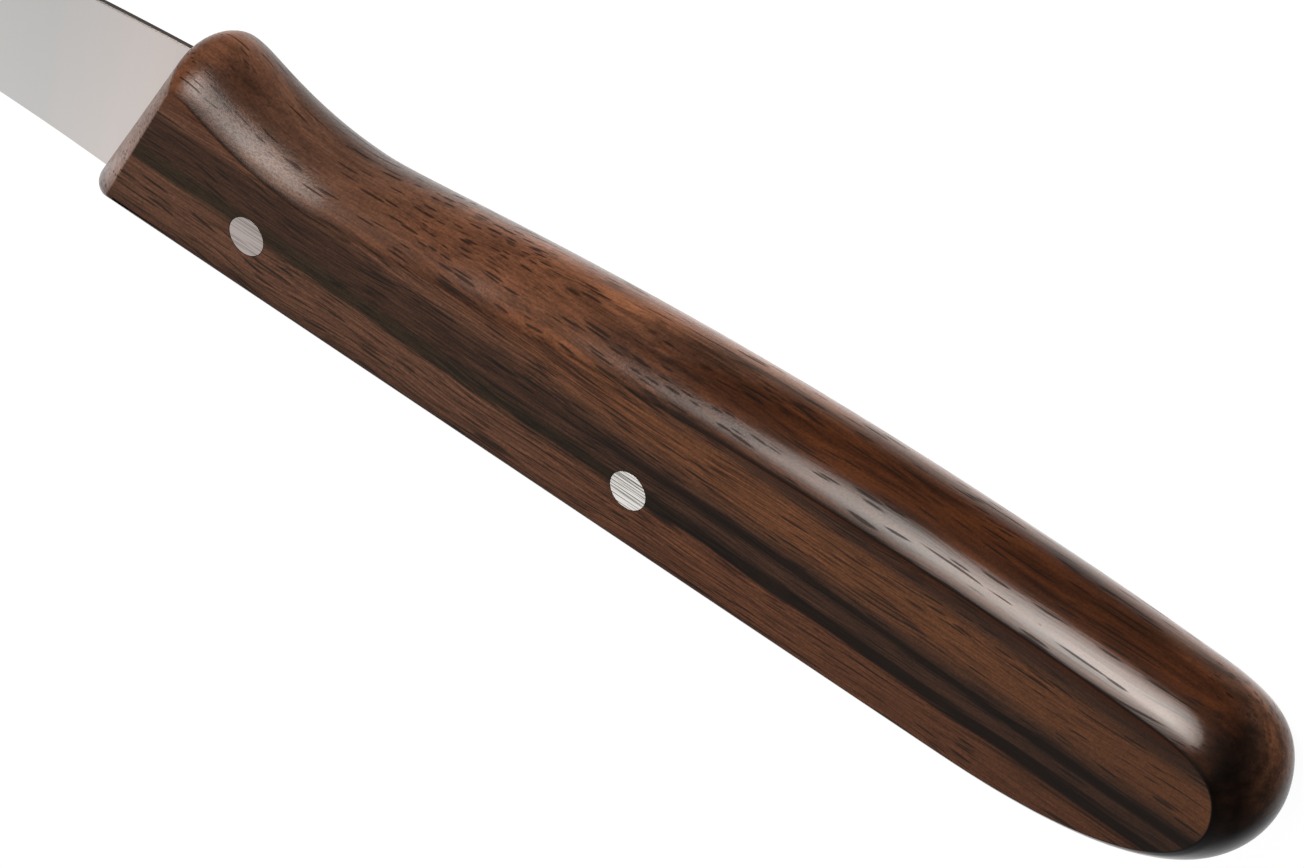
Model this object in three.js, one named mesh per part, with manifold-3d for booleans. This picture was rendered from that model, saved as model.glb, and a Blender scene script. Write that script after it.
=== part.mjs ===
// A tourne knife (bird's-beak paring knife). A short hooked blade is stamped in one piece with its half tang.
// The tang sits in a slot sawn into a one-piece wooden handle, from the front and the belly, and two pins
// pass through handle and tang and are ground flush with the handle's flat sides. Nothing moves.
//
// Millimetres. While it is drawn, x runs from the blade to the butt with 0 at the lower front corner of the
// handle's flat sides, y runs from the belly to the spine with 0 at the belly, and z runs across the
// thickness with 0 on the blade's mid-plane. The finished knife lies on one flat side, with its origin under
// the middle of its bounding box.
import * as THREE from "three";
import { mergeVertices } from "three/addons/utils/BufferGeometryUtils.js";
import Module from "manifold-3d";

const wasm = await Module();
wasm.setup();

// Handle: overall sizes, with heights from belly to back on the mid-plane
const FLAT_LENGTH = 106.4; // of the flat sides, along the belly's direction
const HANDLE_THICKNESS = 10.5; // between the two flat sides
const EDGE_RISE = 2.6; // how far the crowned edge stands out from the flats' outline
const NOSE_HEIGHT = 18.6; // over the blade's root
const WAIST_HEIGHT = 15.7; // at the thumb hollow
const SWELL_HEIGHT = 20.4; // at the palm swell
const BACK_END_HEIGHT = 19.9; // where the back rolls over into the butt
const BUTT_TIP_HEIGHT = 12.1; // of the rearmost point
const WAIST_STATION = 18.8; // from the front
const SWELL_SETBACK = 28.2; // from the butt, as are the next two
const BACK_END_SETBACK = 7.1;
const BELLY_END_SETBACK = 22.9; // where the straight belly starts to turn up
const BACK_FALL = THREE.MathUtils.degToRad(3); // slope of the back at its end

// Handle: front end, which leans back towards the spine and bulges round the blade
const FRONT_SLANT = THREE.MathUtils.degToRad(16.5); // on the flats
const FRONT_RISE_LOW = 2.7; // bulge at the belly
const FRONT_RISE_HIGH = 1.9; // bulge at the nose
const FLAT_BROW_RADIUS = 0.6; // front corners of the flats
const FLAT_TOE_RADIUS = 0.2;
const NOSE_RADIUS = 2.4; // on the mid-plane
const TOE_RADIUS = 0.9; // lower front corner, on the mid-plane

// Handle: lengths of the tangents that shape the curves between those points
const NOSE_PULL = 1.9;
const WAIST_FRONT_PULL = 8.4;
const WAIST_REAR_PULL = 5.3;
const SWELL_FRONT_PULL = 33.2;
const SWELL_REAR_PULL = 6.4;
const BACK_END_PULL = 10.3;
const BACK_ROLL_PULL = 5.2;
const BUTT_UPPER_PULL = 3.4;
const BUTT_LOWER_PULL = 3;
const BELLY_END_PULL = 19.4;

// Blade
const STEEL_THICKNESS = 0.6; // of the tang, and of the spine at its root
const BLADE_REACH = 60.4; // front corner of the flats to the tip
const TIP_DROP = 4; // of the tip below the belly line
const SPINE_ROOT_DEPTH = 5.6; // how far the spine runs into the nose
const NOSE_COVER = 1.8; // wood over the spine there
const HEEL = new THREE.Vector2(0.8, -0.05); // end of the cutting edge, at the mouth of the slot
const SPINE_FALL = THREE.MathUtils.degToRad(5.7); // slope of the spine at the root, down towards the tip
const EDGE_LIFT = THREE.MathUtils.degToRad(3.8); // slope of the edge at the heel, up towards the tip
const TIP_SLOPE = THREE.MathUtils.degToRad(40); // slope of the spine at the tip
const SPINE_ROOT_PULL = 30;
const SPINE_TIP_PULL = 20;
const EDGE_PULL = 29;
const GROUND_THICKNESS = 0.3; // of the flat-ground blade, at belly level
const BEVEL_WIDTH = 0.7; // sharpened strip along the edge
const EDGE_THICKNESS = 0.05;
const TIP_BLUNT = 0.5; // length by which the point is rounded off

// Tang
const TANG_RECESS = 0.8; // of its lower edge above the belly
const NECK_STATION = 15.6; // where its shoulder has come down from the spine
const WAIST_COVER = 3.8; // wood over the neck
const TANG_MARGIN = 9.6; // beyond the rear pin's axis
const TANG_END_RISE = 3.5; // of its end above the pins' axis
const TANG_END_DROP = 4.9; // and below it
const TANG_TAPER = 10; // length over which its lower edge runs up to its end
const SLOT_CLEARANCE = 0.1; // between steel and wood

// Pins
const PIN_DIAMETER = 3.4;
const PIN_HEIGHT = 7.5; // of their axes above the belly
const FRONT_PIN_STATION = 13.6;
const PIN_SPACING = 38.4;
const PIN_CLEARANCE = 0.05; // radial, in wood and steel

// Steps that curves are drawn in
const PIN_SEGMENTS = 48;
const EDGE_STEPS = 16; // across the crowned edge
const BLADE_STEPS = 28; // along the blade
const CORNER_STEPS = 6;
const FRONT_STEPS = 2;
const CUT_OVERRUN = 5; // how far cutting bodies stand out of the wood

const LACQUERED_ROSEWOOD = new THREE.MeshStandardMaterial({ color: 0x57352a, roughness: 0.35, metalness: 0 });
const SATIN_STEEL = new THREE.MeshStandardMaterial({ color: 0xc6c4c2, roughness: 0.35, metalness: 1 });
const GROUND_ALUMINIUM = new THREE.MeshStandardMaterial({ color: 0xcfcdcb, roughness: 0.45, metalness: 1 });

const at = (x, y) => new THREE.Vector2(x, y);
const towards = (angle, length) => at(Math.cos(angle), Math.sin(angle)).multiplyScalar(length);

// A closed mesh becomes a solid for cutting and joining once only its merged positions are left.
function toSolid(geometry) {
  const bare = geometry.clone();
  bare.deleteAttribute("normal");
  bare.deleteAttribute("uv");
  const merged = mergeVertices(bare, 1e-4);
  return new wasm.Manifold(
    new wasm.Mesh({
      numProp: 3,
      vertProperties: merged.attributes.position.array,
      triVerts: new Uint32Array(merged.index.array),
    }),
  );
}

function toGeometry(solid) {
  const mesh = solid.getMesh();
  const geometry = new THREE.BufferGeometry();
  geometry.setAttribute("position", new THREE.BufferAttribute(mesh.vertProperties, 3));
  geometry.setIndex(new THREE.BufferAttribute(mesh.triVerts, 1));
  geometry.computeVertexNormals();
  return geometry;
}

// Joins rings of equally many points into one closed body. The end caps are triangulated in the plane that
// flatten() maps a point to, where the rings run anticlockwise as seen from the last ring.
function loft(rings, flatten) {
  const count = rings[0].length;
  const positions = rings.flat().flatMap((p) => [p.x, p.y, p.z]);
  const triangles = [];
  for (let r = 0; r + 1 < rings.length; r++) {
    for (let i = 0; i < count; i++) {
      const a = r * count + i;
      const b = r * count + ((i + 1) % count);
      triangles.push(a, b, b + count, a, b + count, a + count);
    }
  }
  const cap = (ring, offset, flip) => {
    for (const [a, b, c] of THREE.ShapeUtils.triangulateShape(ring.map(flatten), [])) {
      triangles.push(offset + a, offset + (flip ? c : b), offset + (flip ? b : c));
    }
  };
  cap(rings[0], 0, true);
  cap(rings.at(-1), (rings.length - 1) * count, false);
  const geometry = new THREE.BufferGeometry();
  geometry.setAttribute("position", new THREE.Float32BufferAttribute(positions, 3));
  geometry.setIndex(triangles);
  return geometry;
}

// A flat outline in x and y becomes a plate of the given thickness, centred on the mid-plane.
function plate(points, thickness) {
  const geometry = new THREE.ExtrudeGeometry(new THREE.Shape(points), { depth: thickness, bevelEnabled: false });
  return geometry.translate(0, 0, -thickness / 2);
}

function cubic(start, startPull, endPull, end) {
  return new THREE.CubicBezierCurve(start, start.clone().add(startPull), end.clone().add(endPull), end);
}

const FLAT_BELLY = EDGE_RISE;
const FLAT_NOSE = NOSE_HEIGHT - EDGE_RISE;
const FLAT_TOE = at(0, FLAT_BELLY);
const FLAT_BROW = at((FLAT_NOSE - FLAT_BELLY) * Math.tan(FRONT_SLANT), FLAT_NOSE);

// The flats' outline from the toe along belly, butt and back to the nose, with the steps for each curve.
function longOutline() {
  const bellyEnd = at(FLAT_LENGTH - BELLY_END_SETBACK, FLAT_BELLY);
  const buttTip = at(FLAT_LENGTH, BUTT_TIP_HEIGHT);
  const backEnd = at(FLAT_LENGTH - BACK_END_SETBACK, BACK_END_HEIGHT - EDGE_RISE);
  const swell = at(FLAT_LENGTH - SWELL_SETBACK, SWELL_HEIGHT - EDGE_RISE);
  const waist = at(WAIST_STATION, WAIST_HEIGHT - EDGE_RISE);
  const noseTop = at(FLAT_BROW.x + FLAT_BROW_RADIUS, FLAT_NOSE);
  return [
    [new THREE.LineCurve(at(FLAT_TOE_RADIUS, FLAT_BELLY), bellyEnd), 4],
    [cubic(bellyEnd, at(BELLY_END_PULL, 0), at(0, -BUTT_LOWER_PULL), buttTip), 14],
    [cubic(buttTip, at(0, BUTT_UPPER_PULL), towards(-BACK_FALL, BACK_ROLL_PULL), backEnd), 8],
    [cubic(backEnd, towards(Math.PI - BACK_FALL, BACK_END_PULL), at(SWELL_REAR_PULL, 0), swell), 5],
    [cubic(swell, at(-SWELL_FRONT_PULL, 0), at(WAIST_REAR_PULL, 0), waist), 12],
    [cubic(waist, at(-WAIST_FRONT_PULL, 0), at(NOSE_PULL, 0), noseTop), 10],
  ];
}

// The front end from the nose down to the toe, where the crown stands out by the given share of its rise:
// a straight line between two rounded corners.
function frontOutline(share) {
  const forward = towards(Math.PI - FRONT_SLANT, share);
  const brow = FLAT_BROW.clone().addScaledVector(forward, FRONT_RISE_HIGH);
  const toe = FLAT_TOE.clone().addScaledVector(forward, FRONT_RISE_LOW);
  const down = toe.clone().sub(brow).normalize();
  const outward = at(down.y, -down.x);
  const lineAngle = outward.angle();
  const corner = (height, radius) => {
    const x = toe.x - (radius + (height - toe.y) * outward.y) / outward.x;
    return at(x, height);
  };
  const noseRadius = THREE.MathUtils.lerp(FLAT_BROW_RADIUS, NOSE_RADIUS, share);
  const toeRadius = THREE.MathUtils.lerp(FLAT_TOE_RADIUS, TOE_RADIUS, share);
  const nose = corner(FLAT_NOSE + share * EDGE_RISE - noseRadius, noseRadius);
  const heel = corner(FLAT_BELLY - share * EDGE_RISE + toeRadius, toeRadius);
  const top = nose.clone().addScaledVector(outward, noseRadius);
  const bottom = heel.clone().addScaledVector(outward, toeRadius);
  return [
    [new THREE.EllipseCurve(nose.x, nose.y, noseRadius, noseRadius, Math.PI / 2, lineAngle), CORNER_STEPS],
    [new THREE.LineCurve(top, bottom), FRONT_STEPS],
    [new THREE.EllipseCurve(heel.x, heel.y, toeRadius, toeRadius, lineAngle, 1.5 * Math.PI), CORNER_STEPS],
  ];
}

// Points along curves, moved out along each curve's normal. The last point belongs to the next curve.
function trace(curves, out) {
  return curves.flatMap(([curve, steps]) =>
    Array.from({ length: steps }, (_, i) => {
      const tangent = curve.getTangent(i / steps);
      return curve.getPoint(i / steps).addScaledVector(at(tangent.y, -tangent.x), out);
    }),
  );
}

// The wooden body: the flats' outline swept through the thickness and pushed out by a shallow circular arc,
// so that the edge all round is crowned and meets the flats in a crease.
function handleBody() {
  const half = HANDLE_THICKNESS / 2;
  const crownRadius = (half * half + EDGE_RISE * EDGE_RISE) / (2 * EDGE_RISE);
  const sweep = Math.atan2(half, crownRadius - EDGE_RISE);
  const rings = Array.from({ length: EDGE_STEPS + 1 }, (_, k) => {
    const angle = sweep * ((2 * k) / EDGE_STEPS - 1);
    const out = crownRadius * (Math.cos(angle) - 1) + EDGE_RISE;
    const outline = [...trace(longOutline(), out), ...trace(frontOutline(out / EDGE_RISE), 0)];
    return outline.map((p) => new THREE.Vector3(p.x, p.y, crownRadius * Math.sin(angle)));
  });
  return toSolid(loft(rings, (p) => at(p.x, p.y)));
}

const SPINE_ROOT = at(SPINE_ROOT_DEPTH, NOSE_HEIGHT - NOSE_COVER);
const TANG_END = FRONT_PIN_STATION + PIN_SPACING + TANG_MARGIN;

// Upper outline of the tang from the spine's root to its end, moved out by a clearance.
function tangTop(clearance) {
  const neck = at(NECK_STATION, WAIST_HEIGHT - WAIST_COVER);
  const end = at(TANG_END, PIN_HEIGHT + TANG_END_RISE);
  return [SPINE_ROOT, neck, end].map((corner) => at(corner.x + clearance, corner.y + clearance));
}

// The saw slot: open at the front and along the belly, and closed over the tang.
function slotBody() {
  const outline = [
    at(-CUT_OVERRUN, -CUT_OVERRUN),
    at(TANG_END + SLOT_CLEARANCE, -CUT_OVERRUN),
    ...tangTop(SLOT_CLEARANCE).reverse(),
    at(-CUT_OVERRUN, SPINE_ROOT.y + SLOT_CLEARANCE),
  ];
  return toSolid(plate(outline, STEEL_THICKNESS + 2 * SLOT_CLEARANCE));
}

function tangBody() {
  const outline = [
    at(HEEL.x, TANG_RECESS),
    at(TANG_END - TANG_TAPER, TANG_RECESS),
    at(TANG_END, PIN_HEIGHT - TANG_END_DROP),
    ...tangTop(0).reverse(),
  ];
  return toSolid(plate(outline, STEEL_THICKNESS));
}

// The blade's two outlines, from the root to the tip.
function bladeCurves() {
  const tip = at(-BLADE_REACH, -TIP_DROP);
  const rootPull = towards(Math.PI + SPINE_FALL, SPINE_ROOT_PULL);
  const spine = cubic(SPINE_ROOT, rootPull, towards(TIP_SLOPE, SPINE_TIP_PULL), tip);
  const edgePull = towards(Math.PI - EDGE_LIFT, EDGE_PULL);
  const edge = new THREE.QuadraticBezierCurve(HEEL, HEEL.clone().add(edgePull), tip);
  return { spine, edge };
}

// Half thickness of the flat-ground blade: each side is one plane, thinner towards the edge.
function groundHalf(y) {
  const slope = (STEEL_THICKNESS - GROUND_THICKNESS) / SPINE_ROOT.y;
  return (GROUND_THICKNESS + slope * y) / 2;
}

// The blade is lofted through six-sided sections that run from the edge to the spine.
function bladeBody() {
  const { spine, edge } = bladeCurves();
  const last = 1 - TIP_BLUNT / BLADE_REACH;
  const rings = Array.from({ length: BLADE_STEPS + 1 }, (_, k) => {
    const t = (last * k) / BLADE_STEPS;
    const back = spine.getPointAt(t);
    const front = edge.getPointAt(t);
    const width = front.distanceTo(back);
    const bevel = front.clone().lerp(back, Math.min(BEVEL_WIDTH, width / 2) / width);
    const sides = [
      [front, EDGE_THICKNESS / 2],
      [bevel, groundHalf(bevel.y)],
      [back, groundHalf(back.y)],
    ];
    const near = sides.map(([p, z]) => new THREE.Vector3(p.x, p.y, z));
    const far = sides.map(([p, z]) => new THREE.Vector3(p.x, p.y, -z)).reverse();
    return [...near, ...far];
  });
  return toSolid(loft(rings, (p) => at(p.z, p.y)));
}

const PIN_STATIONS = { front_rivet: FRONT_PIN_STATION, rear_rivet: FRONT_PIN_STATION + PIN_SPACING };

function pinGeometry(radius, length) {
  return new THREE.CylinderGeometry(radius, radius, length, PIN_SEGMENTS).rotateX(Math.PI / 2);
}

function drillPinHoles(solid) {
  return Object.values(PIN_STATIONS).reduce((left, station) => {
    const bore = pinGeometry(PIN_DIAMETER / 2 + PIN_CLEARANCE, HANDLE_THICKNESS + 2 * CUT_OVERRUN);
    return left.subtract(toSolid(bore.translate(station, PIN_HEIGHT, 0)));
  }, solid);
}

function named(name, geometry, material) {
  const mesh = new THREE.Mesh(geometry, material);
  mesh.name = name;
  return mesh;
}

const knife = new THREE.Group();
knife.add(named("handle", toGeometry(drillPinHoles(handleBody().subtract(slotBody()))), LACQUERED_ROSEWOOD));
knife.add(named("blade", toGeometry(drillPinHoles(bladeBody().add(tangBody()))), SATIN_STEEL));
for (const [name, station] of Object.entries(PIN_STATIONS)) {
  const pin = named(name, pinGeometry(PIN_DIAMETER / 2, HANDLE_THICKNESS), GROUND_ALUMINIUM);
  pin.position.set(station, PIN_HEIGHT, 0);
  knife.add(pin);
}

const box = new THREE.Box3().setFromObject(knife);
const middle = box.getCenter(new THREE.Vector3());
knife.position.set(-middle.x, -middle.y, -box.min.z);

const lying = new THREE.Group();
lying.add(knife);

export default lying;
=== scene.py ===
import math

import bmesh
import bpy
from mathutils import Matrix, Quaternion, Vector
from mathutils.geometry import interpolate_bezier


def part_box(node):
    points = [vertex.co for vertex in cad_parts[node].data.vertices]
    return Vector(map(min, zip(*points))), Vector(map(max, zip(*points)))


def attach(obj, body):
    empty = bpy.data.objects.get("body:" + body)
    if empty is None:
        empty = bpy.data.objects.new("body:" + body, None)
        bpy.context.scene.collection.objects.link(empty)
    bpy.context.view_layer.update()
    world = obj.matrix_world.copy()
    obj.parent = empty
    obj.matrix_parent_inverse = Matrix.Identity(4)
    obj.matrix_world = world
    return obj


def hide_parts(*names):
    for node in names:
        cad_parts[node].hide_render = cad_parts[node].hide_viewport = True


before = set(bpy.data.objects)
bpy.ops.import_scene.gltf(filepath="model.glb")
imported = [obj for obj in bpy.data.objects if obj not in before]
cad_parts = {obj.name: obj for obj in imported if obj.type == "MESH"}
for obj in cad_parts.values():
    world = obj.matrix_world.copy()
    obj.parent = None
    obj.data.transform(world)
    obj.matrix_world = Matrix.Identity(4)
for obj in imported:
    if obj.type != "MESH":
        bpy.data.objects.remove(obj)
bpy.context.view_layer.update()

# A tourne knife: a hooked blade with its half tang pinned in the slot of a rosewood handle.
# Shapes are drawn in the knife's own frame: x from the lower front corner of the handle's flat sides to the
# butt, y from the belly to the spine, z across the thickness with 0 on the blade's mid-plane. The front pin
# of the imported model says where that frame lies.
bl_info = {
    "name": "Tourne Knife",
    "version": (1, 0, 0),
    "blender": (4, 5, 0),
    "location": "3D View > Sidebar > Knife",
    "description": "Builds a riveted tourne knife with its finishes and a plain stage",
    "category": "Add Mesh",
}

MM = 0.001
BODY = "root"
PIN_NODES = ("front_rivet", "rear_rivet")
HANDLE_LOW, HANDLE_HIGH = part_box("handle")
PIN_LOW, PIN_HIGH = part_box("front_rivet")
REAR_PIN_LOW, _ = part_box("rear_rivet")
HALF_THICKNESS = (HANDLE_HIGH.z - HANDLE_LOW.z) / 2
PIN_DIAMETER = PIN_HIGH.x - PIN_LOW.x
PIN_MIDDLE = (PIN_LOW + PIN_HIGH) / 2
PIN_SPACING = REAR_PIN_LOW.x - PIN_LOW.x

# Angles between faces from which an edge is shaded sharp, and from which a pin's edge is rounded
SHARP_EDGE = math.radians(30)
GROUND_EDGE = math.radians(8)
RIM_EDGE = math.radians(45)
# A narrow border round the flat sides, which keeps their shading level
FLAT_BORDER = 0.1 * MM
# The table lies just under the knife
FLOOR_DROP = 0.05 * MM
FLOOR_HALF_SIZE = 3.0
# The softbox over the spine in metres: its nested shares, its full size and where it hangs
KEY_GROWTHS = (0.25, 0.5, 0.75, 1.0)
KEY_SIZE = (0.46, 0.57)
KEY_DIRECTION = Vector((-0.12, 0.808, 0.577))
KEY_DISTANCE = 0.56
KEY_STEP = 0.04
# A range of values that eases in and out
SOFT = {"interpolation_type": "SMOOTHSTEP"}


def linear(hex_code):
    """Turns an sRGB hex colour into the linear values that shaders use."""
    shares = [int(hex_code[i:i + 2], 16) / 255 for i in (1, 3, 5)]
    return tuple(c / 12.92 if c <= 0.04045 else ((c + 0.055) / 1.055) ** 2.4 for c in shares)


def length(name, description, millimetres):
    """A size that a user may change, given here in millimetres."""
    return bpy.props.FloatProperty(
        name=name, description=description, default=millimetres * MM, unit="LENGTH", precision=5
    )


def angle(name, description, degrees):
    """An angle that a user may change, given here in degrees."""
    return bpy.props.FloatProperty(
        name=name, description=description, default=math.radians(degrees), subtype="ANGLE"
    )


def colour(name, description, hex_code):
    """A colour that a user may change, given here as sRGB hex."""
    return bpy.props.FloatVectorProperty(
        name=name, description=description, default=linear(hex_code), subtype="COLOR", min=0.0, max=1.0
    )


class KnifeHandleSizes(bpy.types.PropertyGroup):
    """Sizes of the wooden handle. Heights are from belly to back on the mid-plane."""

    flat_length: length("Flat length", "Length of the flat sides along the belly", 106.4)
    edge_rise: length("Edge rise", "How far the crowned edge stands out from the flat sides' outline", 2.6)
    nose_height: length("Nose height", "Height over the blade's root", 18.6)
    waist_height: length("Waist height", "Height at the thumb hollow", 15.7)
    swell_height: length("Swell height", "Height at the palm swell", 20.4)
    back_end_height: length("Back end height", "Height where the back rolls over into the butt", 19.9)
    butt_tip_height: length("Butt tip height", "Height of the rearmost point", 12.1)
    waist_station: length("Waist station", "Distance of the thumb hollow from the front", 18.8)
    swell_setback: length("Swell setback", "Distance of the palm swell from the butt", 28.2)
    back_end_setback: length("Back end setback", "Distance of the back's end from the butt", 7.1)
    belly_end_setback: length("Belly end setback", "Where the straight belly starts to turn up", 22.9)
    back_fall: angle("Back fall", "Slope of the back at its end", 3.0)
    front_slant: angle("Front slant", "Lean of the front end towards the spine", 16.5)
    front_rise_low: length("Front rise low", "Bulge of the front end at the belly", 2.7)
    front_rise_high: length("Front rise high", "Bulge of the front end at the nose", 1.9)
    flat_brow_radius: length("Flat brow radius", "Radius of the flat sides' upper front corner", 0.6)
    flat_toe_radius: length("Flat toe radius", "Radius of the flat sides' lower front corner", 0.2)
    nose_radius: length("Nose radius", "Radius of the nose on the mid-plane", 2.4)
    toe_radius: length("Toe radius", "Radius of the lower front corner on the mid-plane", 0.9)
    nose_pull: length("Nose pull", "Tangent length at the nose", 1.9)
    waist_front_pull: length("Waist front pull", "Tangent length in front of the waist", 8.4)
    waist_rear_pull: length("Waist rear pull", "Tangent length behind the waist", 5.3)
    swell_front_pull: length("Swell front pull", "Tangent length in front of the swell", 33.2)
    swell_rear_pull: length("Swell rear pull", "Tangent length behind the swell", 6.4)
    back_end_pull: length("Back end pull", "Tangent length of the back at its end", 10.3)
    back_roll_pull: length("Back roll pull", "Tangent length where the back rolls over", 5.2)
    butt_upper_pull: length("Butt upper pull", "Tangent length above the rearmost point", 3.4)
    butt_lower_pull: length("Butt lower pull", "Tangent length below the rearmost point", 3.0)
    belly_end_pull: length("Belly end pull", "Tangent length at the belly's end", 19.4)
    front_crease: length("Front crease", "Radius of the softened crease round the front end", 0.25)
    side_crease: length("Side crease", "Radius of the softened crease along back and belly", 0.35)
    crease_start: length("Crease start", "Where the crease begins to soften", 3.0)
    crease_end: length("Crease end", "Where it has its full radius", 14.0)
    dip_station: length("Dip station", "Where the sanded crease wanders lowest behind the waist", 37.5)
    dip_reach: length("Dip reach", "How far that dip reaches either way", 7.0)
    dip_depth: length("Dip depth", "How far the crease lies below its even line there", 0.4)


class KnifeSteelSizes(bpy.types.PropertyGroup):
    """Sizes of the blade, its tang, the slot and the pins."""

    steel_thickness: length("Steel thickness", "Thickness of the tang and of the spine at its root", 0.6)
    blade_reach: length("Blade reach", "Front corner of the flat sides to the tip", 60.4)
    tip_drop: length("Tip drop", "How far the tip lies below the belly line", 4.0)
    spine_root_depth: length("Spine root depth", "How far the spine runs into the nose", 5.6)
    nose_cover: length("Nose cover", "Wood over the spine there", 1.8)
    heel_inset: length("Heel inset", "Distance of the cutting edge's end behind the front corner", 0.8)
    heel_drop: length("Heel drop", "Distance of the cutting edge's end below the belly", 0.05)
    spine_fall: angle("Spine fall", "Slope of the spine at its root", 5.7)
    edge_lift: angle("Edge lift", "Slope of the cutting edge at the heel", 3.8)
    tip_slope: angle("Tip slope", "Slope of the spine at the tip", 40.0)
    spine_root_pull: length("Spine root pull", "Tangent length of the spine at its root", 30.0)
    spine_tip_pull: length("Spine tip pull", "Tangent length of the spine at the tip", 20.0)
    edge_pull: length("Edge pull", "Tangent length of the cutting edge at the heel", 29.0)
    ground_thickness: length("Ground thickness", "Thickness of the ground blade at belly level", 0.3)
    bevel_width: length("Bevel width", "Width of the sharpened strip along the edge", 0.7)
    edge_thickness: length("Edge thickness", "Thickness of the cutting edge", 0.05)
    spine_ease: length("Spine ease", "Chamfer on the spine's two corners", 0.1)
    tip_blunt: length("Tip blunt", "Length by which the point is rounded off", 0.5)
    tang_recess: length("Tang recess", "Distance of the tang's lower edge above the belly", 0.8)
    neck_station: length("Neck station", "Where the tang's shoulder has come down", 15.6)
    waist_cover: length("Waist cover", "Wood over the tang's neck", 3.8)
    tang_margin: length("Tang margin", "Length of the tang beyond the rear pin", 9.6)
    tang_end_rise: length("Tang end rise", "Height of the tang's end above the pins", 3.5)
    tang_end_drop: length("Tang end drop", "Depth of the tang's end below the pins", 4.9)
    tang_taper: length("Tang taper", "Length over which the tang's lower edge runs up", 10.0)
    slot_clearance: length("Slot clearance", "Gap between steel and wood", 0.1)
    pin_height: length("Pin height", "Height of the pins above the belly", 7.5)
    pin_station: length("Pin station", "Distance of the front pin from the front", 13.6)
    pin_clearance: length("Pin clearance", "Radial gap round a pin", 0.05)
    pin_ease: length("Pin ease", "Rounding of a pin's rim", 0.02)


class KnifeColours(bpy.types.PropertyGroup):
    """Colours of wood and metal."""

    red_brown: colour("Red brown", "Front belly side of the rosewood", "#533728")
    russet: colour("Russet", "Rear belly side", "#50301e")
    golden: colour("Golden", "Light band of the heartwood", "#5b3822")
    orange: colour("Orange", "Light band where the crown cuts it", "#4f301f")
    ink: colour("Ink", "Darkest heartwood streaks", "#150902")
    soft_ink: colour("Soft ink", "The same streaks at the front", "#2a1f12")
    umber: colour("Umber", "Wood between the dark streaks", "#372318")
    tobacco: colour("Tobacco", "Dark outer wood on the rear crown", "#351906")
    # The front end's pale tone is partly a painted sheen on the sanded end grain
    front_end: colour("Front end", "Sanded end grain round the blade", "#755d53")
    pore: colour("Pore", "Inside of an open pore", "#160f0b")
    steel: colour("Steel", "Satin blade steel", "#c4c2c0")
    # Warm steel is a painted reflection of the wood in the blade beside the handle
    steel_with_wood_reflection: colour("Warm steel", "The same beside the handle", "#d2c9c5")
    aluminium: colour("Aluminium", "Rear pin", "#e6e2dd")
    darker_aluminium: colour("Dull aluminium", "Front pin", "#b1a6a1")
    scratch: colour("Scratch", "Grime in the pins' scratches", "#57524e")


class KnifeStage(bpy.types.PropertyGroup):
    """Viewpoint, lights and table."""

    azimuth: angle("Azimuth", "Direction of the viewer from the knife, from its butt end", 61.55)
    elevation: angle("Elevation", "Height of the viewer above the flat side", 41.42)
    roll: angle("Roll", "Turn of the picture about the line of sight", 126.73)
    distance: length("Distance", "Viewer to the middle of the picture", 681.6)
    aim_behind_pin: length("Aim behind pin", "Middle of the picture behind the front pin", 39.26)
    aim_above_pin: length("Aim above pin", "Middle of the picture above the pins' line", 6.6)
    lens: bpy.props.FloatProperty(
        name="Lens", description="Focal length in millimetres on a 36 mm sensor", default=246.9
    )
    key_strength: bpy.props.FloatProperty(
        name="Key strength", description="Power of the softbox over the spine in watts", default=4.1
    )
    key_colour: colour("Key colour", "Tint of that softbox", "#fff7f0")
    room: colour("Room", "Dim surroundings", "#333333")
    backdrop: colour("Backdrop", "White surfaces that the blade mirrors", "#ffffff")
    table: colour("Table", "Grey of the opal table", "#606060")
    glow: colour("Glow", "Light from within the table", "#ffffff")


def knife_origin(steel):
    """Place of the knife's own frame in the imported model, worked out from the front pin."""
    return PIN_MIDDLE - Vector((steel.pin_station, steel.pin_height, 0.0))


def at(x, y, z=0.0):
    """A place or a shift in the knife's frame."""
    return Vector((x, y, z))


def towards(direction, distance):
    """A shift by a distance in a direction that is given as an angle from the x axis."""
    return at(math.cos(direction), math.sin(direction)) * distance


def smooth_step(value, low, high):
    """Share from 0 to 1 that eases in at low and out at high."""
    share = min(max((value - low) / (high - low), 0.0), 1.0)
    return share * share * (3 - 2 * share)


def curve(start, start_pull, end_pull, end, steps):
    """Points of a cubic curve without its last one, which belongs to the next curve."""
    return interpolate_bezier(start, start + start_pull, end + end_pull, end, steps + 1)[:-1]


def arc(centre, radius, start, end, steps):
    """Points of a circular arc without its last one."""
    turns = [start + (end - start) * i / steps for i in range(steps)]
    return [centre + towards(turn, radius) for turn in turns]


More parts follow.
